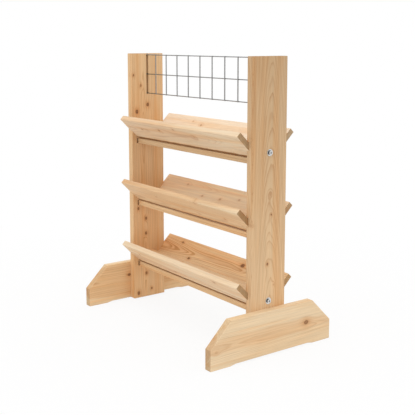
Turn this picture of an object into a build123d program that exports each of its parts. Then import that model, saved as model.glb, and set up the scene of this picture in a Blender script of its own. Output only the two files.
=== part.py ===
from build123d import *
import math
import os

os.makedirs("parts", exist_ok=True)

# A three-tier trough stand of sawn softwood with a lift-out wire grid between
# the tops of its two uprights. Millimetres. +X is the stand's right, +Y its
# back, +Z up. The origin is on the floor, in the middle of the footprint.

# Overall size
stand_width = 800.0
stand_height = 950.0
edge_rounding = 2.0

# Uprights
upright_thickness = 28.0
upright_depth = 139.0

# Feet, screwless boards on the outer faces of the uprights
foot_thickness = 28.0
foot_length = 500.0
foot_height = 147.0
foot_bevel = 80.0
foot_pad_length = 78.0
foot_ramp_length = 20.0
foot_relief = 4.0

# Tiers: a flat rail with a tilted board in front of it and one behind it
tier_names = ("bottom", "middle", "top")
first_rail_height = 133.0
tier_pitch = 240.0
rail_thickness = 19.0
rail_width = 89.0
board_thickness = 19.0
board_width = 98.0
board_tilt = 45.0
board_drain_gap = 5.1
board_overhang = 2.4

# Housings in the inner faces of the uprights. A rail's dado is cut a little
# longer than the rail is wide, so a short dark slot shows at each of its edges.
housing_depth = 10.0
housing_clearance = 0.1
housing_end_clearance = 0.25
dado_allowance = 5.0

# Stretchers, bolted between the uprights on the outermost rails
stretcher_tiers = ("bottom", "top")
stretcher_height = 38.0
stretcher_width = 38.0

# Bolts, washers and insert nuts
bolt_diameter = 8.0
bolt_length = 48.0
bolt_hole_clearance = 0.5
head_flats = 13.0
head_height = 5.3
head_chamfer = 0.8
head_dish_diameter = 9.0
head_dish_depth = 0.6
head_cross_length = 6.5
head_cross_width = 1.6
head_cross_depth = 2.4
tip_chamfer = 1.0
washer_diameter = 22.0
washer_thickness = 1.6
washer_rounding = 0.3
washer_bore_clearance = 0.2
insert_diameter = 12.0
insert_length = 18.0
insert_chamfer = 0.8
thread_clearance = 0.05
tip_bore_clearance = 0.4
tip_bore_extra = 4.0

# Dowels between a foot and its upright
dowel_diameter = 10.0
dowel_length = 40.0
dowel_chamfer = 1.0
dowel_clearance = 0.05
dowel_end_clearance = 0.5
dowel_spacing_y = 80.0
dowel_spacing_z = 65.0
dowel_lower_height = 45.0

# Wire grid panel, which stands in a groove open at the top
column_wire_diameter = 4.0
row_wire_diameter = 3.4
column_count = 11
grid_engagement = 10.5
row_count = 3
row_pitch = 72.0
wire_overrun = 2.0
weld_sink = 0.3
grid_groove_height = 151.5
grid_groove_clearance = 0.9
grid_end_clearance = 1.0

# Worked out from the sizes above
inner_face = stand_width / 2 - foot_thickness - upright_thickness
outer_face = inner_face + upright_thickness
housed_length = 2 * (inner_face + housing_depth - housing_end_clearance)
rail_heights = {name: first_rail_height + tier_pitch * i for i, name in enumerate(tier_names)}
bolt_heights = [rail_heights[name] + rail_thickness + stretcher_height / 2 for name in stretcher_tiers]
bolt_reach = bolt_length - washer_thickness - upright_thickness
dowel_places = [
    (y, dowel_lower_height + z)
    for y in (-dowel_spacing_y / 2, dowel_spacing_y / 2)
    for z in (0.0, dowel_spacing_z)
]
grid_floor = stand_height - grid_groove_height
grid_thickness = column_wire_diameter + row_wire_diameter - weld_sink
grid_half_width = inner_face + grid_engagement
column_pitch = 2 * (grid_half_width - wire_overrun) / (column_count - 1)
grid_height = row_pitch * (row_count - 1) + 2 * wire_overrun


def block(x_size, y_size, z_size, rounding=edge_rounding, along=None):
    """A rounded block about the origin: all edges, or only those along one axis."""
    solid = Box(x_size, y_size, z_size)
    edges = solid.edges() if along is None else solid.edges().filter_by(along)
    return fillet(edges, rounding)


def rod(diameter, length, x_start, y, z, chamfer_size=0.0):
    """A round rod along +X from x_start, with both ends chamfered."""
    solid = Cylinder(diameter / 2, length)
    if chamfer_size > 0:
        solid = chamfer(solid.edges().filter_by(GeomType.CIRCLE), chamfer_size)
    return Pos(x_start + length / 2, y, z) * Rot(Y=90) * solid


def board_block(rail_height, side, length, clearance):
    """The space of a tilted board; side is -1 in front of the rail and 1 behind it."""
    tilt = math.radians(board_tilt)
    low_y = rail_width / 2 + board_overhang
    low_z = rail_height + rail_thickness + board_drain_gap
    centre_y = low_y + math.sin(tilt) * board_width / 2 - math.cos(tilt) * board_thickness / 2
    centre_z = low_z + math.cos(tilt) * board_width / 2 + math.sin(tilt) * board_thickness / 2
    thickness = board_thickness + 2 * clearance
    width = board_width + 2 * clearance
    shape = Box(length, thickness, width) if clearance else block(length, thickness, width)
    return Pos(0, side * centre_y, centre_z) * Rot(X=-side * board_tilt) * shape


def make_board(rail_height, side):
    return board_block(rail_height, side, housed_length, 0.0)


def make_rail(rail_height):
    rail = block(housed_length, rail_width, rail_thickness, along=Axis.X)
    return Pos(0, 0, rail_height + rail_thickness / 2) * rail


def make_stretcher(bolt_height):
    """A square bar between the uprights, with a bore for an insert nut in each end."""
    bar = Pos(0, 0, bolt_height) * block(2 * inner_face, stretcher_width, stretcher_height, along=Axis.X)
    tip_bore = bolt_diameter + 2 * tip_bore_clearance
    for bore, depth in ((insert_diameter, insert_length), (tip_bore, bolt_reach + tip_bore_extra)):
        bar -= rod(bore, depth, inner_face - depth, 0, bolt_height)
        bar -= rod(bore, depth, -inner_face, 0, bolt_height)
    return bar


def make_upright():
    """The right upright, with the housings, groove and holes that its neighbours need."""
    height = stand_height - foot_relief
    centre_x = inner_face + upright_thickness / 2
    upright = Pos(centre_x, 0, foot_relief + height / 2) * block(upright_thickness, upright_depth, height)
    housing_length = 2 * (inner_face + housing_depth)
    for rail_height in rail_heights.values():
        dado_width = rail_width + 2 * dado_allowance
        dado_height = rail_thickness + 2 * housing_clearance
        dado = Box(housing_length, dado_width, dado_height)
        upright -= Pos(0, 0, rail_height + rail_thickness / 2) * dado
        for side in (-1, 1):
            upright -= board_block(rail_height, side, housing_length, housing_clearance)
    groove_length = 2 * (grid_half_width + grid_end_clearance)
    groove_width = grid_thickness + 2 * grid_groove_clearance
    groove = Box(groove_length, groove_width, grid_groove_height)
    upright -= Pos(0, 0, grid_floor + grid_groove_height / 2) * groove
    for bolt_height in bolt_heights:
        bolt_hole = bolt_diameter + 2 * bolt_hole_clearance
        upright -= rod(bolt_hole, upright_thickness, inner_face, 0, bolt_height)
    return upright - dowel_holes()


def make_foot():
    """The right foot: bevelled top corners, and a shallow relief between two pads."""
    half = foot_length / 2
    pad_end = half - foot_pad_length
    relief_end = pad_end - foot_ramp_length
    right_side = [
        (relief_end, foot_relief),
        (pad_end, 0),
        (half, 0),
        (half, foot_height - foot_bevel),
        (half - foot_bevel, foot_height),
    ]
    outline = right_side + [(-y, z) for y, z in reversed(right_side)]
    profile = Plane.YZ * make_face(Polyline(*outline, close=True))
    foot = extrude(profile, foot_thickness, dir=(1, 0, 0))
    foot = fillet(foot.edges(), edge_rounding)
    return Pos(outer_face, 0, 0) * foot - dowel_holes()


def dowel_holes():
    depth = dowel_length + 2 * dowel_end_clearance
    diameter = dowel_diameter + 2 * dowel_clearance
    holes = [rod(diameter, depth, outer_face - depth / 2, y, z) for y, z in dowel_places]
    return Part() + holes


def make_dowels():
    start = outer_face - dowel_length / 2
    return [rod(dowel_diameter, dowel_length, start, y, z, dowel_chamfer) for y, z in dowel_places]


def make_bolt(bolt_height):
    """A hexagon bolt at the right upright, its head dished and cut with a cross."""
    head_radius = head_flats / math.sqrt(3)
    head = extrude(RegularPolygon(head_radius, 6), head_height)
    dome = Cylinder(head_radius, head_height, align=(Align.CENTER, Align.CENTER, Align.MIN))
    dome = chamfer(dome.edges().group_by(Axis.Z)[-1], head_chamfer)
    head = head & dome
    top = Pos(0, 0, head_height)
    head -= top * Cylinder(head_dish_diameter / 2, 2 * head_dish_depth)
    for length, width in ((head_cross_length, head_cross_width), (head_cross_width, head_cross_length)):
        head -= top * Box(length, width, 2 * head_cross_depth)
    shank = Cylinder(bolt_diameter / 2, bolt_length, align=(Align.CENTER, Align.CENTER, Align.MAX))
    shank = chamfer(shank.edges().group_by(Axis.Z)[0], tip_chamfer)
    return Pos(outer_face + washer_thickness, 0, bolt_height) * Rot(Y=90) * (head + shank)


def make_washer(bolt_height):
    washer = Cylinder(washer_diameter / 2, washer_thickness)
    washer = fillet(washer.edges().filter_by(GeomType.CIRCLE), washer_rounding)
    washer = Rot(Y=90) * washer
    washer = Pos(outer_face + washer_thickness / 2, 0, bolt_height) * washer
    bore = bolt_diameter + 2 * washer_bore_clearance
    return washer - rod(bore, washer_thickness, outer_face, 0, bolt_height)


def make_insert_nut(bolt_height):
    start = inner_face - insert_length
    nut = rod(insert_diameter - 2 * thread_clearance, insert_length, start, 0, bolt_height, insert_chamfer)
    return nut - rod(bolt_diameter + 2 * thread_clearance, insert_length, start, 0, bolt_height)


def make_grid_columns():
    """The upright wires, which lie in front of the level ones."""
    y = -grid_thickness / 2 + column_wire_diameter / 2
    first_x = -column_pitch * (column_count - 1) / 2
    z = grid_floor + grid_height / 2
    wire = Cylinder(column_wire_diameter / 2, grid_height)
    return [Pos(first_x + column_pitch * i, y, z) * wire for i in range(column_count)]


def make_grid_rows():
    y = grid_thickness / 2 - row_wire_diameter / 2
    length = 2 * grid_half_width
    heights = [grid_floor + wire_overrun + row_pitch * i for i in range(row_count)]
    return [rod(row_wire_diameter, length, -grid_half_width, y, z) for z in heights]


def save(name, solids):
    """Write one piece, or a group of separate solids, as one file."""
    group = solids if isinstance(solids, list) else [solids]
    single = [part.solids()[0] for part in group]
    shape = single[0] if len(single) == 1 else Compound(children=single)
    export_step(shape, f"parts/{name}.step")


def save_pair(name, solids):
    """Write the right-hand pieces, and the left-hand ones as their mirror image."""
    group = solids if isinstance(solids, list) else [solids]
    save(f"right_{name}", group)
    save(f"left_{name}", [mirror(part, Plane.YZ) for part in group])


save_pair("upright", make_upright())
save_pair("foot", make_foot())
save_pair("foot_dowels", make_dowels())
for tier, tier_height in rail_heights.items():
    save(f"{tier}_rail", make_rail(tier_height))
    save(f"{tier}_front_board", make_board(tier_height, -1))
    save(f"{tier}_back_board", make_board(tier_height, 1))
for tier, bolt_height in zip(stretcher_tiers, bolt_heights):
    save(f"{tier}_stretcher", make_stretcher(bolt_height))
save_pair("bolts", [make_bolt(z) for z in bolt_heights])
save_pair("washers", [make_washer(z) for z in bolt_heights])
save_pair("insert_nuts", [make_insert_nut(z) for z in bolt_heights])
save("grid_column_wires", make_grid_columns())
save("grid_row_wires", make_grid_rows())
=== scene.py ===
"""A softwood planter stand with a wire trellis, finished for rendering."""

import math
from collections import namedtuple

import bmesh
import bpy
from bpy.props import FloatProperty, FloatVectorProperty, IntProperty, PointerProperty
from mathutils import Euler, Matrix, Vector


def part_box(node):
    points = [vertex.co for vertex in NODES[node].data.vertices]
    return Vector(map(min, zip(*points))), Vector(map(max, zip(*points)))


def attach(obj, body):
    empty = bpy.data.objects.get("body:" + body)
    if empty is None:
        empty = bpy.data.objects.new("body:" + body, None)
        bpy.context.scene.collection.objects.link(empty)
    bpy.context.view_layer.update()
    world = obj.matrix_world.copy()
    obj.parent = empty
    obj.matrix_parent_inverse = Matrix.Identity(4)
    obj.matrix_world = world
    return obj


bl_info = {
    "name": "Planter stand with trellis",
    "version": (1, 0, 0),
    "blender": (4, 5, 0),
    "location": "View3D > Sidebar > Planter",
    "description": "Finishes the stand's timber, wire grid and bolts, and lights it in a pale studio",
    "category": "Object",
}

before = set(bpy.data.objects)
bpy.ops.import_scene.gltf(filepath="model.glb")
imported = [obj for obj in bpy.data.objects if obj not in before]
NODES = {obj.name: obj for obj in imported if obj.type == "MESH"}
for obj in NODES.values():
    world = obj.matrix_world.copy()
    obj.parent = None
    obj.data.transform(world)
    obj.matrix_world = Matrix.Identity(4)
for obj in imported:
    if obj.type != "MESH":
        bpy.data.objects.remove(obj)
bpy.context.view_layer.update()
MM = 0.001
BOARD_THICKNESS = 19 * MM
SLOPE = math.sqrt(0.5)  # the troughs' boards lean 45 degrees
LAMP_AIM = Vector((0, 0, 0.45))
X_AXIS = Vector((1, 0, 0))
Y_AXIS = Vector((0, 1, 0))
Z_AXIS = Vector((0, 0, 1))

# How the late wood of one year comes and goes: (share of the year, strength).
LATE_WOOD = ((0.0, 0.10), (0.40, 0.02), (0.66, 0.28), (0.88, 1.0), (0.95, 0.80), (1.0, 0.10))

# What the colour of a board is multiplied by where it is fully marked.
FLAME = (0.97, 0.83, 0.68)
BLUSH = (1.0, 0.90, 0.78)
KNOT_STAIN = (0.76, 0.50, 0.30)
# Painted shade of the gap where a trough's boards meet its rail.
GAP_SHADE = (0.48, 0.34, 0.22)
END_GRAIN = (0.46, 0.37, 0.26)

# Each board is sawn from a log of its own, whose pith runs along the board.
# Lengths here are in mm from the middle of the board: pith is (across the face,
# through the thickness), ring the width of a year, taper how fast the log
# narrows, heart the radius of the warm heartwood. Tone is the board's lightness,
# fade how much lighter it gets along a metre, pale how far it is bleached and
# contrast how strong its late wood is. A knot is (along the grain, across the
# face, radius, darkness).
Sawn = namedtuple("Sawn", "pith ring taper heart tone fade pale contrast knots")
Space = namedtuple("Space", "centre grain across face")

LOGS = {
    "right_upright": Sawn(
        (4, -34), 3.7, 0.066, 200, 0.87, -0.32, 0.05, 0.95,
        ((-184, -5, 4.5, 1.0), (-25, 9, 3.4, 1.0), (42, 5, 5.0, 0.40), (-256, 23, 3.5, 0.4),
         (-52, -66, 6.0, 0.3)),
    ),
    "left_upright": Sawn(
        (-20, 34), 3.2, 0.012, 200, 1.01, -0.12, 0.0, 0.95,
        ((353, -30, 5.0, 0.8), (280, 0, 6.5, 1.0), (255, -48, 7.0, 1.0), (-118, -47, 5.0, 1.0),
         (-160, -13, 5.6, 1.0), (-219, -14, 5.4, 1.0), (-379, -14, 5.0, 1.0), (-444, 10, 4.6, 1.0),
         (-454, -50, 6.8, 1.0), (392, -61, 4.0, 1.0)),
    ),
    "right_foot": Sawn(
        (-8, -21), 3.3, 0.018, 40, 0.98, 0.0, 0.08, 0.85,
        ((142, 4, 8.5, 0.9), (-228, -16, 5.0, 0.3)),
    ),
    "left_foot": Sawn(
        (14, 40), 3.4, 0.02, 66, 1.02, 0.0, 0.0, 0.8,
        ((-76, 22, 6.0, 1.0), (120, -20, 4.0, 0.5)),
    ),
    "bottom_rail": Sawn(
        (8, -30), 3.4, 0.02, 80, 1.0, 0.0, 0.0, 0.7,
        ((60, 20, 4.0, 0.6), (-190, -12, 3.0, 0.8)),
    ),
    "middle_rail": Sawn(
        (-14, 26), 3.6, 0.02, 60, 1.02, 0.0, 0.0, 0.7,
        ((-90, -15, 3.5, 0.6), (240, 8, 3.0, 0.7)),
    ),
    "top_rail": Sawn(
        (4, -34), 3.6, 0.02, 120, 0.84, 0.0, 0.0, 0.8,
        ((140, 10, 4.0, 0.7), (-40, -22, 3.0, 0.6)),
    ),
    "bottom_front_board": Sawn(
        (-30, 36), 3.4, 0.02, 50, 1.01, 0.0, 0.26, 0.8,
        ((217, 28, 6.0, 0.6), (-60, -20, 3.5, 0.5), (-270, 10, 3.0, 0.7)),
    ),
    "middle_front_board": Sawn(
        (-22, 34), 3.6, 0.035, 90, 0.99, 0.0, 0.10, 0.85,
        ((123, 44, 6.0, 0.35), (241, -9, 5.0, 0.4), (-150, 12, 3.0, 0.5)),
    ),
    "top_front_board": Sawn(
        (10, 42), 4.0, 0.045, 58, 0.95, 0.0, 0.24, 0.85,
        ((-122, 16, 5.0, 0.7), (-15, 34, 4.5, 0.5), (-246, 6, 4.0, 0.45), (87, 9, 5.5, 0.35)),
    ),
    # The back boards' tones are set above the other boards' as painted light that lifts the shade inside
    # the troughs; the rest of each tone is the board's own lightness.
    "bottom_back_board": Sawn(
        (2, -17), 3.2, 0.028, 27, 1.13, 0.0, 0.0, 2.0,
        ((-149, -23, 5.0, 1.0), (137, 21, 8.5, 1.0), (-240, 30, 5.0, 0.8)),
    ),
    "middle_back_board": Sawn(
        (18, -30), 3.2, 0.015, 44, 1.12, 0.0, 0.22, 0.7,
        ((-74, -10, 4.5, 0.5), (29, -6, 5.0, 0.55), (125, 10, 4.5, 0.45), (-197, 22, 5.0, 0.4)),
    ),
    "top_back_board": Sawn(
        (20, -46), 4.2, 0.03, 30, 1.05, 0.0, 0.62, 0.8,
        ((-103, 11, 5.0, 0.6), (-164, 24, 4.0, 0.4), (150, -8, 4.0, 0.6)),
    ),
    "bottom_stretcher": Sawn((24, -22), 3.2, 0.02, 40, 1.0, 0.0, 0.0, 0.8, ((-120, 4, 3.0, 0.7),)),
    "top_stretcher": Sawn((-20, 24), 3.4, 0.02, 30, 1.0, 0.0, 0.0, 0.8, ((90, -6, 3.0, 0.7),)),
    "left_foot_dowels": Sawn((30, 12), 2.4, 0.0, 0, 0.96, 0.0, 0.25, 0.4, ()),
    "right_foot_dowels": Sawn((26, -14), 2.2, 0.0, 0, 0.96, 0.0, 0.25, 0.4, ()),
}


def middle(node):
    """The centre of a part of the frame, in metres."""
    low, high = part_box(node)
    return (Vector(low) + Vector(high)) / 2


def timber_space(node):
    """Which way a board's grain, width and thickness run."""
    if node.endswith("upright"):
        return Space(middle(node), Z_AXIS, Y_AXIS, X_AXIS)
    if node.endswith("foot"):
        return Space(middle(node), Y_AXIS, Z_AXIS, X_AXIS)
    if node.endswith("front_board"):
        return Space(middle(node), X_AXIS, Vector((0, -SLOPE, SLOPE)), Vector((0, SLOPE, SLOPE)))
    if node.endswith("back_board"):
        return Space(middle(node), X_AXIS, Vector((0, SLOPE, SLOPE)), Vector((0, -SLOPE, SLOPE)))
    return Space(middle(node), X_AXIS, Y_AXIS, Z_AXIS)


class Graph:
    """Short ways to add and join nodes in a node tree."""

    def __init__(self, tree):
        self.tree = tree
        self.tree.nodes.clear()

    def put(self, socket, value):
        """Links a socket, or sets a plain value, on an input."""
        if isinstance(value, bpy.types.NodeSocket):
            self.tree.links.new(value, socket)
        elif isinstance(value, Vector):
            socket.default_value = tuple(value)
        else:
            socket.default_value = value

    def add(self, kind, inputs=None, **settings):
        node = self.tree.nodes.new(kind)
        for name, value in settings.items():
            setattr(node, name, value)
        for key, value in (inputs or {}).items():
            self.put(node.inputs[key], value)
        return node

    def math(self, operation, first, second=0.0, third=0.0, clamp=False):
        node = self.add("ShaderNodeMath", {0: first, 1: second, 2: third}, operation=operation)
        node.use_clamp = clamp
        return node.outputs[0]

    def vector(self, operation, first, second=(0, 0, 0)):
        node = self.add("ShaderNodeVectorMath", {0: first, 1: second}, operation=operation)
        return node.outputs["Value" if operation in {"DOT_PRODUCT", "LENGTH"} else "Vector"]

    def scaled(self, vector, amount):
        node = self.add("ShaderNodeVectorMath", {0: vector, "Scale": amount}, operation="SCALE")
        return node.outputs["Vector"]

    def noise(self, vector, scale=1.0, detail=2.0, roughness=0.5, colour=False):
        inputs = {"Vector": vector, "Scale": scale, "Detail": detail, "Roughness": roughness}
        node = self.add("ShaderNodeTexNoise", inputs)
        return node.outputs["Color" if colour else "Fac"]

    def mix(self, amount, first, second, blend="MIX"):
        node = self.add("ShaderNodeMix", data_type="RGBA", blend_type=blend)
        self.put(node.inputs["Factor"], amount)
        self.put(node.inputs[6], first)
        self.put(node.inputs[7], second)
        return node.outputs[2]

    def spread(self, value, low, high, new_low=0.0, new_high=1.0, smooth=False):
        """Maps low to new_low and high to new_high, and holds the value beyond them."""
        inputs = {"Value": value, "From Min": low, "From Max": high, "To Min": new_low, "To Max": new_high}
        node = self.add("ShaderNodeMapRange", inputs)
        node.interpolation_type = "SMOOTHSTEP" if smooth else "LINEAR"
        return node.outputs["Result"]

    def ramp(self, value, stops):
        """A grey curve through (place, level) stops."""
        node = self.add("ShaderNodeValToRGB", {"Fac": value})
        points = node.color_ramp.elements
        while len(points) < len(stops):
            points.new(1.0)
        for point, (place, level) in zip(points, stops):
            point.position = place
            point.color = (level, level, level, 1)
        return node.outputs["Color"]

    def tinted(self, amount, colour, tint):
        """Multiplies a colour by a tint, as far as amount says."""
        return self.mix(amount, colour, self.vector("MULTIPLY", colour, tint))

    def surface(self, shader, kind="ShaderNodeOutputMaterial"):
        """Joins a shader to the output of a material or a world."""
        output = self.add(kind)
        self.put(output.inputs["Surface"], shader.outputs[0])


def opaque(colour):
    """A colour with its alpha."""
    return tuple(colour) + (1,)


def new_material(name):
    """An empty material and its graph."""
    material = bpy.data.materials.new(name)
    material.use_nodes = True
    return material, Graph(material.node_tree)


def new_group(name, inputs, outputs):
    """An empty node group with its sockets; returns its graph, its inputs and its output node."""
    tree = bpy.data.node_groups.new(name, "ShaderNodeTree")
    graph = Graph(tree)
    kinds = {"value": "NodeSocketFloat", "vector": "NodeSocketVector", "colour": "NodeSocketColor"}
    for label, kind in inputs:
        tree.interface.new_socket(label, in_out="INPUT", socket_type=kinds[kind])
    for label, kind in outputs:
        tree.interface.new_socket(label, in_out="OUTPUT", socket_type=kinds[kind])
    return graph, graph.add("NodeGroupInput").outputs, graph.add("NodeGroupOutput")


def knot_group():
    """One knot: the grain is pushed aside round it, and its wood is dark and ringed."""
    graph, given, out = new_group(
        "Knot",
        [("Place", "vector"), ("Bent", "vector"), ("Core", "value"), ("Halo", "value"),
         ("Centre", "vector"), ("Radius", "value"), ("Darkness", "value")],
        [("Bent", "vector"), ("Core", "value"), ("Halo", "value")],
    )
    wobble = graph.noise(given["Place"], 160.0, 2.0, colour=True)
    wobble = graph.scaled(graph.vector("SUBTRACT", wobble, (0.5, 0.5, 0.5)), 0.0028)
    away = graph.vector("SUBTRACT", graph.vector("ADD", given["Place"], wobble), given["Centre"])
    flat = graph.vector("MULTIPLY", away, (0.72, 1.0, 0.12))
    distance = graph.vector("LENGTH", flat)
    reach = graph.math("DIVIDE", distance, given["Radius"])
    fall = graph.math("MULTIPLY", graph.math("MULTIPLY", reach, reach), -0.16)
    pull = graph.math("MULTIPLY", graph.math("EXPONENT", fall), 0.72)
    aside = graph.vector("MULTIPLY", away, (0.25, 1.0, 0.35))
    push = graph.scaled(aside, graph.math("MULTIPLY", pull, -1.0))
    graph.put(out.inputs["Bent"], graph.vector("ADD", given["Bent"], push))
    core = graph.math("SUBTRACT", 1.0, graph.spread(reach, 0.62, 1.12, smooth=True))
    rings = graph.math("SINE", graph.math("MULTIPLY", reach, 11.0))
    rings = graph.spread(rings, -1.0, 1.0, 0.72, 1.0)
    core = graph.math("MULTIPLY", graph.math("MULTIPLY", core, rings), given["Darkness"])
    graph.put(out.inputs["Core"], graph.math("MAXIMUM", given["Core"], core))
    halo = graph.math("EXPONENT", graph.math("MULTIPLY", graph.math("MULTIPLY", reach, reach), -0.34))
    halo = graph.math("MULTIPLY", halo, given["Darkness"])
    graph.put(out.inputs["Halo"], graph.math("MAXIMUM", given["Halo"], halo))
    return graph.tree


def growth_rings(graph, given, place, along):
    """How far each point is from the pith, and how many years of growth that is."""
    slow = graph.vector("MULTIPLY", place, (2.2, 9.0, 9.0))
    sway = graph.vector("SUBTRACT", graph.noise(slow, 1.0, 1.0, colour=True), (0.5, 0.5, 0.5))
    sway = graph.vector("MULTIPLY", sway, (0.0, 0.022, 0.022))
    quick = graph.vector("MULTIPLY", place, (9.0, 60.0, 60.0))
    ripple = graph.vector("SUBTRACT", graph.noise(quick, 1.0, 2.0, colour=True), (0.5, 0.5, 0.5))
    ripple = graph.vector("MULTIPLY", ripple, (0.0, 0.0032, 0.0032))
    bent = graph.vector("ADD", graph.vector("ADD", given["Bent"], sway), ripple)
    radial = graph.vector("MULTIPLY", graph.vector("SUBTRACT", bent, given["Pith"]), (0.0, 1.0, 1.0))
    radius = graph.math("MULTIPLY_ADD", along, given["Taper"], graph.vector("LENGTH", radial))
    years = graph.math("DIVIDE", radius, given["Ring"])
    drift = graph.add("ShaderNodeTexNoise", {"W": graph.math("ADD", years, given["Seed"]), "Scale": 0.55},
                      noise_dimensions="1D").outputs["Fac"]
    return radius, graph.math("MULTIPLY_ADD", drift, 1.9, years)


def late_wood(graph, given, years, patch):
    """How much late wood shows: most at the end of a year, and more in some years and patches."""
    late = graph.ramp(graph.math("FRACT", years), LATE_WOOD)
    year = graph.add("ShaderNodeTexWhiteNoise", {"W": graph.math("FLOOR", years)}, noise_dimensions="1D")
    strength = graph.spread(year.outputs["Value"], 0.0, 1.0, 0.45, 1.0)
    strength = graph.math("MULTIPLY", strength, graph.spread(patch, 0.3, 0.7, 0.65, 1.1))
    contrast = graph.math("ADD", given["Contrast"], given["End"])
    return graph.math("MULTIPLY", graph.math("MULTIPLY", late, strength), contrast, clamp=True)


def ring_colour(graph, given, timber, radius, late, patch):
    """Early and late wood, in the colours of heartwood near the pith and of sapwood beyond it."""
    edge = graph.spread(patch, 0.3, 0.7, -6 * MM, 6 * MM)
    inside = graph.math("SUBTRACT", given["Heart"], graph.math("ADD", radius, edge))
    heart = graph.spread(inside, -4 * MM, 6 * MM, smooth=True)
    early_colour = graph.mix(heart, opaque(timber.sapwood), opaque(timber.heartwood))
    late_colour = graph.mix(heart, opaque(timber.late_sapwood), opaque(timber.late_heartwood))
    return graph.mix(late, early_colour, late_colour)


def board_colour(graph, given, timber, place, along, fibres, colour):
    """A board's own lightness and bleaching, its fibres and streaks, its warm flames and blotches."""
    streaks = graph.noise(graph.vector("MULTIPLY", place, (5.0, 150.0, 150.0)), 1.0, 2.0, 0.6)
    fibre_level = graph.spread(fibres, 0.25, 0.75, 0.955, 1.035)
    streak_level = graph.spread(streaks, 0.25, 0.75, 0.90, 1.07)
    tone = graph.math("MULTIPLY_ADD", along, given["Fade"], given["Tone"])
    level = graph.math("MULTIPLY", graph.math("MULTIPLY", fibre_level, streak_level), tone)
    colour = graph.mix(given["Pale"], colour, opaque(timber.bleached))
    colour = graph.scaled(colour, level)
    flame = graph.noise(graph.vector("MULTIPLY", place, (1.4, 42.0, 42.0)), 1.0, 1.0)
    flame = graph.spread(flame, 0.50, 0.72, 0.0, 0.8, smooth=True)
    colour = graph.tinted(flame, colour, FLAME)
    blotch = graph.noise(graph.vector("MULTIPLY", place, (3.0, 9.0, 9.0)), 1.0, 3.0, 0.55)
    blush = graph.spread(blotch, 0.42, 0.72, 0.0, 0.55, smooth=True)
    return graph.tinted(blush, colour, BLUSH)


def marked_colour(graph, given, timber, colour):
    """A board with its knots and the stain round them, painted shade where a trough's boards meet its rail,
    and its darker ends.
    """
    colour = graph.tinted(graph.math("MULTIPLY", given["Halo"], 0.75), colour, KNOT_STAIN)
    dark = graph.math("MULTIPLY", given["Core"], given["Core"])
    knot = graph.mix(dark, opaque(timber.young_knot), opaque(timber.knot))
    colour = graph.mix(given["Core"], colour, knot)
    # Painted shade in the gap where a trough's boards meet its rail.
    colour = graph.tinted(given["Gap shade"], colour, GAP_SHADE)
    return graph.tinted(given["End"], colour, END_GRAIN)


def softwood_group(timber):
    """Growth rings round a pith, with pale early wood, darker late wood, heartwood and fibres."""
    graph, given, out = new_group(
        "Softwood",
        [("Place", "vector"), ("Bent", "vector"), ("Core", "value"), ("Halo", "value"),
         ("End", "value"), ("Gap shade", "value"), ("Pith", "vector"), ("Ring", "value"),
         ("Taper", "value"), ("Heart", "value"), ("Tone", "value"), ("Fade", "value"),
         ("Pale", "value"), ("Contrast", "value"), ("Seed", "value")],
        [("Colour", "colour"), ("Roughness", "value"), ("Height", "value")],
    )
    seed = graph.add("ShaderNodeCombineXYZ", {axis: given["Seed"] for axis in range(3)}).outputs[0]
    place = graph.vector("ADD", given["Place"], seed)
    along = graph.add("ShaderNodeSeparateXYZ", {0: given["Bent"]}).outputs[0]
    patch = graph.noise(graph.vector("MULTIPLY", place, (3.0, 22.0, 22.0)), 1.0, 2.0)
    fibres = graph.noise(graph.vector("MULTIPLY", place, (28.0, 1100.0, 1100.0)), 1.0, 3.0, 0.6)
    radius, years = growth_rings(graph, given, place, along)
    late = late_wood(graph, given, years, patch)
    colour = ring_colour(graph, given, timber, radius, late, patch)
    colour = board_colour(graph, given, timber, place, along, fibres, colour)
    graph.put(out.inputs["Colour"], marked_colour(graph, given, timber, colour))

    rough = graph.math("MULTIPLY_ADD", late, -0.12, timber.roughness)
    rough = graph.math("ADD", rough, graph.spread(fibres, 0.3, 0.7, -0.05, 0.07))
    graph.put(out.inputs["Roughness"], graph.math("ADD", rough, graph.math("MULTIPLY", given["End"], 0.15)))
    height = graph.math("ADD", graph.math("MULTIPLY", late, 0.35), graph.math("MULTIPLY", fibres, 0.5))
    graph.put(out.inputs["Height"], graph.math("MULTIPLY_ADD", given["Core"], -0.5, height))
    return graph.tree


def sawn_end(node):
    """How much darker a board's end grain is than its faces, from 0 to 1."""
    if node.endswith("foot"):
        return 0.5
    return 0.6 if node.endswith("upright") else 0.9


def painted_gap_shade(graph, node, place):
    """Where painted shade darkens a trough's timber in the gap where its boards meet its rail: the boards
    at their lowest edges, and the rail's top between them.
    """
    if not node.endswith(("board", "rail")):
        return 0.0
    low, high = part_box(node)
    parts = graph.add("ShaderNodeSeparateXYZ", {0: place}).outputs
    wobble = graph.noise(graph.vector("MULTIPLY", place, (25.0, 60.0, 60.0)), 1.0, 2.0)
    across = graph.math("MULTIPLY_ADD", wobble, 6 * MM, parts[1])
    if node.endswith("board"):
        lowest = -(high[2] - low[2] - BOARD_THICKNESS * SLOPE) / SLOPE / 2
        return graph.spread(across, lowest + 9 * MM, lowest + 4 * MM, smooth=True)
    top = (high[2] - low[2]) / 2
    under_boards = graph.spread(graph.math("ABSOLUTE", parts[1]), 40 * MM, 32 * MM, smooth=True)
    upper_face = graph.spread(parts[2], top - 1.5 * MM, top - 0.3 * MM)
    return graph.math("MULTIPLY", under_boards, upper_face)


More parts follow.
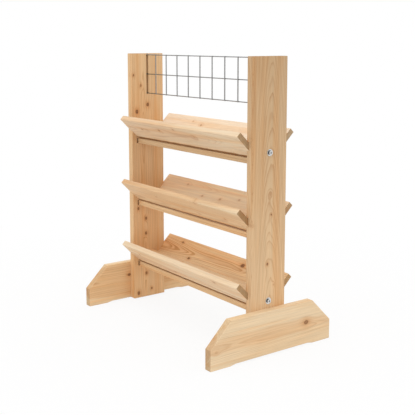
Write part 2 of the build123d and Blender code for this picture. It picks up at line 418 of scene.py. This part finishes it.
def softwood(node, groups):
    """The planed, unfinished timber of one board, sawn from its own log."""
    log = LOGS[node]
    space = timber_space(node)
    material, graph = new_material(node + "_timber")
    coordinates = graph.add("ShaderNodeTexCoord").outputs
    offset = graph.vector("SUBTRACT", coordinates["Object"], space.centre)
    parts = [graph.vector("DOT_PRODUCT", offset, axis) for axis in (space.grain, space.across, space.face)]
    place = graph.add("ShaderNodeCombineXYZ", {i: part for i, part in enumerate(parts)}).outputs[0]
    facing = graph.math("ABSOLUTE", graph.vector("DOT_PRODUCT", coordinates["Normal"], space.grain))
    end_grain = graph.spread(facing, 0.50, 0.92, 0.0, sawn_end(node), smooth=True)
    bent, core, halo = place, 0.0, 0.0
    for along, across, radius, darkness in log.knots:
        knot = graph.add("ShaderNodeGroup", node_tree=groups["knot"])
        values = {"Place": place, "Bent": bent, "Core": core, "Halo": halo,
                  "Centre": (along * MM, across * MM, 0.0), "Radius": radius * MM, "Darkness": darkness}
        for key, value in values.items():
            graph.put(knot.inputs[key], value)
        bent, core, halo = (knot.outputs[key] for key in ("Bent", "Core", "Halo"))
    wood = graph.add("ShaderNodeGroup", node_tree=groups["softwood"])
    values = {"Place": place, "Bent": bent, "Core": core, "Halo": halo, "End": end_grain,
              "Gap shade": painted_gap_shade(graph, node, place),
              "Pith": (0.0, log.pith[0] * MM, log.pith[1] * MM), "Ring": log.ring * MM,
              "Taper": log.taper, "Heart": log.heart * MM, "Tone": log.tone,
              "Fade": log.fade, "Pale": log.pale, "Contrast": log.contrast,
              "Seed": float(list(LOGS).index(node))}
    for key, value in values.items():
        graph.put(wood.inputs[key], value)
    height = wood.outputs["Height"]
    bump = graph.add("ShaderNodeBump", {"Strength": 0.35, "Distance": 0.4 * MM, "Height": height})
    inputs = {"Base Color": wood.outputs["Colour"], "Roughness": wood.outputs["Roughness"],
              "Normal": bump.outputs["Normal"]}
    shader = graph.add("ShaderNodeBsdfPrincipled", inputs)
    shader.inputs["Specular IOR Level"].default_value = 0.3
    graph.surface(shader)
    return material


def plated_steel(name, colour, roughness, mottle, scale, outside=0.0):
    """Plated steel, cloudy and finely scratched, with painted shade darkening the recess of a head that
    ends at outside.
    """
    material, graph = new_material(name)
    place = graph.add("ShaderNodeTexCoord").outputs["Object"]
    cloud = graph.noise(place, scale, 4.0, 0.6)
    grain = graph.noise(place, scale * 9, 2.0, 0.6)
    dark = opaque(channel * (1 - mottle) for channel in colour)
    tint = graph.mix(graph.spread(cloud, 0.35, 0.65), dark, opaque(colour))
    # Painted shade: the cross recess and dish of a bolt head get darker the deeper they lie.
    if outside:
        depth = graph.math("ABSOLUTE", graph.vector("DOT_PRODUCT", place, X_AXIS))
        tint = graph.scaled(tint, graph.spread(depth, outside - 2.6 * MM, outside - 0.2 * MM, 0.10, 1.0))
    bump = graph.add("ShaderNodeBump", {"Strength": 0.25, "Distance": 0.1 * MM, "Height": grain})
    rough = graph.spread(cloud, 0.3, 0.7, roughness - 0.08, roughness + 0.10)
    inputs = {"Base Color": tint, "Roughness": rough, "Normal": bump.outputs["Normal"]}
    shader = graph.add("ShaderNodeBsdfPrincipled", inputs)
    shader.inputs["Metallic"].default_value = 1.0
    graph.surface(shader)
    return material


def dress(node, material):
    """Puts a material on every slot of a part of the frame."""
    part = NODES[node]
    if not part.material_slots:
        part.data.materials.append(material)
    for place in part.material_slots:
        place.material = material


def colour_property(name, description, default):
    """A colour that can be changed in the panel."""
    return FloatVectorProperty(
        name=name, description=description, default=default, subtype="COLOR", size=3, min=0.0, max=1.0)


class PlanterTimber(bpy.types.PropertyGroup):
    sapwood: colour_property("Sapwood", "Pale early wood near the bark", (0.88, 0.68, 0.435))
    heartwood: colour_property("Heartwood", "Warm early wood near the pith", (0.82, 0.555, 0.305))
    late_sapwood: colour_property("Late sapwood", "Late wood of the pale rings", (0.70, 0.44, 0.21))
    late_heartwood: colour_property("Late heartwood", "Late wood of the warm rings", (0.58, 0.30, 0.12))
    bleached: colour_property("Bleached", "Early wood where it is palest", (0.92, 0.82, 0.70))
    young_knot: colour_property("Young knot", "A faint knot", (0.46, 0.22, 0.09))
    knot: colour_property("Knot", "The dark middle of a knot", (0.085, 0.034, 0.012))
    roughness: FloatProperty(
        name="Roughness", description="Roughness of planed wood", default=0.62, min=0.0, max=1.0)


class PlanterMetal(bpy.types.PropertyGroup):
    wire: colour_property("Wire", "Plated wire of the grid", (0.34, 0.34, 0.34))
    wire_roughness: FloatProperty(
        name="Wire roughness", description="Roughness of the wire", default=0.38, min=0.0, max=1.0)
    zinc: colour_property("Zinc", "Bright zinc of the bolts and washers", (0.80, 0.80, 0.79))
    zinc_roughness: FloatProperty(
        name="Zinc roughness", description="Roughness of the zinc", default=0.28, min=0.0, max=1.0)
    weld_radius: FloatProperty(
        name="Weld radius", description="Radius of a weld bead", default=1.9 * MM, min=0.0, unit="LENGTH")
    columns: IntProperty(name="Upright wires", description="Number of upright wires", default=11, min=2)
    rows: IntProperty(name="Level wires", description="Number of level wires", default=3, min=2)


class PlanterStage(bpy.types.PropertyGroup):
    floor: colour_property("Floor", "The pale floor", (0.90, 0.90, 0.90))
    floor_size: FloatProperty(
        name="Floor size", description="Side of the floor", default=60.0, min=1.0, unit="LENGTH")
    floor_glow: FloatProperty(
        name="Floor glow", description="Share of plain white that the camera sees near the stand",
        default=0.88, min=0.0, max=1.0)
    world_light: FloatProperty(
        name="World light", description="Strength of the even light", default=0.93, min=0.0)
    top_light: FloatProperty(
        name="Top light", description="Power of the large lamp", default=24.0, min=0.0, unit="POWER")
    top_place: FloatVectorProperty(
        name="Top lamp place", description="Where the large lamp hangs",
        default=(0.5, -0.5, 3.5), size=3, subtype="XYZ", unit="LENGTH")
    top_size: FloatProperty(
        name="Top lamp size", description="Side of the large lamp", default=2.2, min=0.1, unit="LENGTH")
    focal_length: FloatProperty(
        name="Focal length", description="Lens on a 36 mm sensor", default=70.821, min=1.0)
    shift_x: FloatProperty(name="Shift X", description="Sideways shift of the lens", default=0.0)
    shift_y: FloatProperty(name="Shift Y", description="Vertical shift of the lens", default=-0.1024)
    eye: FloatVectorProperty(
        name="Camera place", description="Where the camera stands",
        default=(2.2988, -1.6469, 0.9949), size=3, subtype="XYZ", unit="LENGTH")
    turn: FloatVectorProperty(
        name="Camera turn", description="How the camera is turned, in degrees",
        default=(81.381, -0.003, 53.880), size=3)


def timber_groups():
    """The knot and softwood node groups, made once."""
    made = bpy.data.node_groups
    knot = made.get("Knot") or knot_group()
    wood = made.get("Softwood") or softwood_group(bpy.context.scene.planter_timber)
    return {"knot": knot, "softwood": wood}


def finish_timber(nodes):
    """Gives each of some parts its own timber."""
    groups = timber_groups()
    for node in nodes:
        dress(node, softwood(node, groups))


class PLANTER_OT_uprights(bpy.types.Operator):
    """Give the two uprights their timber"""
    bl_idname = "planter.uprights"
    bl_label = "Uprights"

    def execute(self, context):
        finish_timber(["left_upright", "right_upright"])
        return {"FINISHED"}


class PLANTER_OT_feet(bpy.types.Operator):
    """Give the two feet their timber"""
    bl_idname = "planter.feet"
    bl_label = "Feet"

    def execute(self, context):
        finish_timber(["left_foot", "right_foot"])
        return {"FINISHED"}


class PLANTER_OT_troughs(bpy.types.Operator):
    """Give the rails and the tilted boards of every trough their timber"""
    bl_idname = "planter.troughs"
    bl_label = "Troughs"

    def execute(self, context):
        pieces = ("rail", "front_board", "back_board")
        finish_timber([f"{tier}_{piece}" for tier in ("bottom", "middle", "top") for piece in pieces])
        return {"FINISHED"}


class PLANTER_OT_stretchers(bpy.types.Operator):
    """Give the stretchers and the dowels their timber"""
    bl_idname = "planter.stretchers"
    bl_label = "Stretchers and dowels"

    def execute(self, context):
        finish_timber(["bottom_stretcher", "top_stretcher", "left_foot_dowels", "right_foot_dowels"])
        return {"FINISHED"}


class PLANTER_OT_fasteners(bpy.types.Operator):
    """Finish the bolts, washers and insert nuts in bright zinc"""
    bl_idname = "planter.fasteners"
    bl_label = "Fasteners"

    def execute(self, context):
        metal = context.scene.planter_metal
        zinc = plated_steel("bright_zinc", metal.zinc, metal.zinc_roughness, 0.22, 260.0)
        for side in ("left", "right"):
            for piece in ("washers", "insert_nuts"):
                dress(f"{side}_{piece}", zinc)
            outside = max(abs(corner[0]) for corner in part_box(f"{side}_bolts"))
            dress(f"{side}_bolts", plated_steel(
                f"{side}_bolt_zinc", metal.zinc, metal.zinc_roughness, 0.22, 260.0, outside))
        return {"FINISHED"}


def between(low, high, count, radius):
    """The centres of wires of one radius that fill the space from low to high."""
    first, last = low + radius, high - radius
    return [first + (last - first) * i / (count - 1) for i in range(count)]


def mesh_object(name, work):
    """Turns a bmesh into an object of the scene."""
    mesh = bpy.data.meshes.new(name)
    work.to_mesh(mesh)
    work.free()
    made = bpy.data.objects.new(name, mesh)
    bpy.context.scene.collection.objects.link(made)
    return made


def weld_beads(metal):
    """The small beads of steel where the level wires are welded across the upright ones."""
    column_low, column_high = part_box("grid_column_wires")
    row_low, row_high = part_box("grid_row_wires")
    column_radius = (column_high[1] - column_low[1]) / 2
    row_radius = (row_high[1] - row_low[1]) / 2
    joint = column_low[1] if row_low[1] < column_low[1] else column_high[1]
    work = bmesh.new()
    for x in between(column_low[0], column_high[0], metal.columns, column_radius):
        for z in between(row_low[2], row_high[2], metal.rows, row_radius):
            bead = bmesh.ops.create_icosphere(work, subdivisions=2, radius=metal.weld_radius)["verts"]
            bmesh.ops.scale(work, vec=(1.25, 0.8, 1.1), verts=bead)
            bmesh.ops.translate(work, vec=(x, joint, z), verts=bead)
    beads = mesh_object("weld_beads", work)
    beads.data.shade_smooth()
    return beads


class PLANTER_OT_grid(bpy.types.Operator):
    """Finish the wire grid and add the beads where its wires are welded"""
    bl_idname = "planter.grid"
    bl_label = "Wire grid"

    def execute(self, context):
        metal = context.scene.planter_metal
        wire = plated_steel("plated_wire", metal.wire, metal.wire_roughness, 0.25, 120.0)
        for node in ("grid_column_wires", "grid_row_wires"):
            dress(node, wire)
        beads = weld_beads(metal)
        beads.data.materials.append(wire)
        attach(beads, "grid_panel")
        return {"FINISHED"}


class PLANTER_OT_stage(bpy.types.Operator):
    """Set up the floor, the even light, the lamp and the camera"""
    bl_idname = "planter.stage"
    bl_label = "Stage"

    def execute(self, context):
        stage = context.scene.planter_stage
        build_floor(stage)
        build_world(context.scene, stage)
        build_lamp(context.scene, stage)
        build_camera(context.scene, stage)
        return {"FINISHED"}


def seen_part(graph):
    """1 where a ray is seen, straight or in a mirror or glass, and 0 where it only lights."""
    path = graph.add("ShaderNodeLightPath").outputs
    seen = graph.math("MAXIMUM", path["Is Camera Ray"], path["Is Glossy Ray"])
    return graph.math("MAXIMUM", seen, path["Is Transmission Ray"])


def build_floor(stage):
    """A pale floor that shows almost white to the camera and keeps the stand's shadow."""
    work = bmesh.new()
    bmesh.ops.create_grid(work, x_segments=1, y_segments=1, size=stage.floor_size / 2)
    floor = mesh_object("floor", work)
    material, graph = new_material("pale_floor")
    matt = graph.add("ShaderNodeBsdfDiffuse", {"Color": opaque(stage.floor)})
    glow = graph.add("ShaderNodeEmission", {"Strength": 1.0})
    place = graph.add("ShaderNodeTexCoord").outputs["Object"]
    share = graph.spread(graph.vector("LENGTH", place), 0.6, 1.8, stage.floor_glow, 1.0, smooth=True)
    share = graph.math("MULTIPLY", seen_part(graph), share)
    both = graph.add("ShaderNodeMixShader", {0: share, 1: matt.outputs[0], 2: glow.outputs[0]})
    graph.surface(both)
    floor.data.materials.append(material)


def build_world(scene, stage):
    """Even light from all round, seen as plain white."""
    world = bpy.data.worlds.new("studio")
    scene.world = world
    world.use_nodes = True
    graph = Graph(world.node_tree)
    strength = graph.spread(seen_part(graph), 0.0, 1.0, stage.world_light, 1.0)
    light = graph.add("ShaderNodeBackground", {"Color": (1, 1, 1, 1), "Strength": strength})
    graph.surface(light, "ShaderNodeOutputWorld")


def build_lamp(scene, stage):
    """One large soft lamp overhead, a little to the front right."""
    lamp = bpy.data.lights.new("top_lamp", "AREA")
    lamp.energy = stage.top_light
    lamp.size = stage.top_size
    holder = bpy.data.objects.new("top_lamp", lamp)
    holder.location = stage.top_place
    away = LAMP_AIM - Vector(holder.location)
    holder.rotation_euler = away.to_track_quat("-Z", "Y").to_euler()
    scene.collection.objects.link(holder)


def build_camera(scene, stage):
    """The camera at the photograph's viewing angle."""
    data = bpy.data.cameras.new("camera")
    data.lens = stage.focal_length
    data.sensor_width = 36.0
    data.shift_x = stage.shift_x
    data.shift_y = stage.shift_y
    data.clip_end = 200.0
    camera = bpy.data.objects.new("camera", data)
    camera.location = stage.eye
    camera.rotation_euler = Euler([math.radians(angle) for angle in stage.turn], "XYZ")
    scene.collection.objects.link(camera)
    scene.camera = camera
    scene.view_settings.view_transform = "Standard"


OPERATORS = (
    PLANTER_OT_uprights,
    PLANTER_OT_feet,
    PLANTER_OT_troughs,
    PLANTER_OT_stretchers,
    PLANTER_OT_fasteners,
    PLANTER_OT_grid,
    PLANTER_OT_stage,
)


class PLANTER_PT_panel(bpy.types.Panel):
    """Lists the steps that finish the planter stand"""
    bl_idname = "PLANTER_PT_panel"
    bl_label = "Planter stand"
    bl_space_type = "VIEW_3D"
    bl_region_type = "UI"
    bl_category = "Planter"

    def draw(self, context):
        for operator in OPERATORS:
            self.layout.operator(operator.bl_idname)
        scene = context.scene
        for group in (scene.planter_timber, scene.planter_metal, scene.planter_stage):
            box = self.layout.box()
            for name in group.__annotations__:
                box.prop(group, name)


CLASSES = (PlanterTimber, PlanterMetal, PlanterStage) + OPERATORS + (PLANTER_PT_panel,)


def register():
    for cls in CLASSES:
        bpy.utils.register_class(cls)
    bpy.types.Scene.planter_timber = PointerProperty(type=PlanterTimber)
    bpy.types.Scene.planter_metal = PointerProperty(type=PlanterMetal)
    bpy.types.Scene.planter_stage = PointerProperty(type=PlanterStage)


def unregister():
    del bpy.types.Scene.planter_stage
    del bpy.types.Scene.planter_metal
    del bpy.types.Scene.planter_timber
    for cls in reversed(CLASSES):
        bpy.utils.unregister_class(cls)


def main():
    """Runs every step in order."""
    register()
    for operator in OPERATORS:
        group, name = operator.bl_idname.split(".")
        getattr(getattr(bpy.ops, group), name)()


if __name__ == "__main__":
    main()
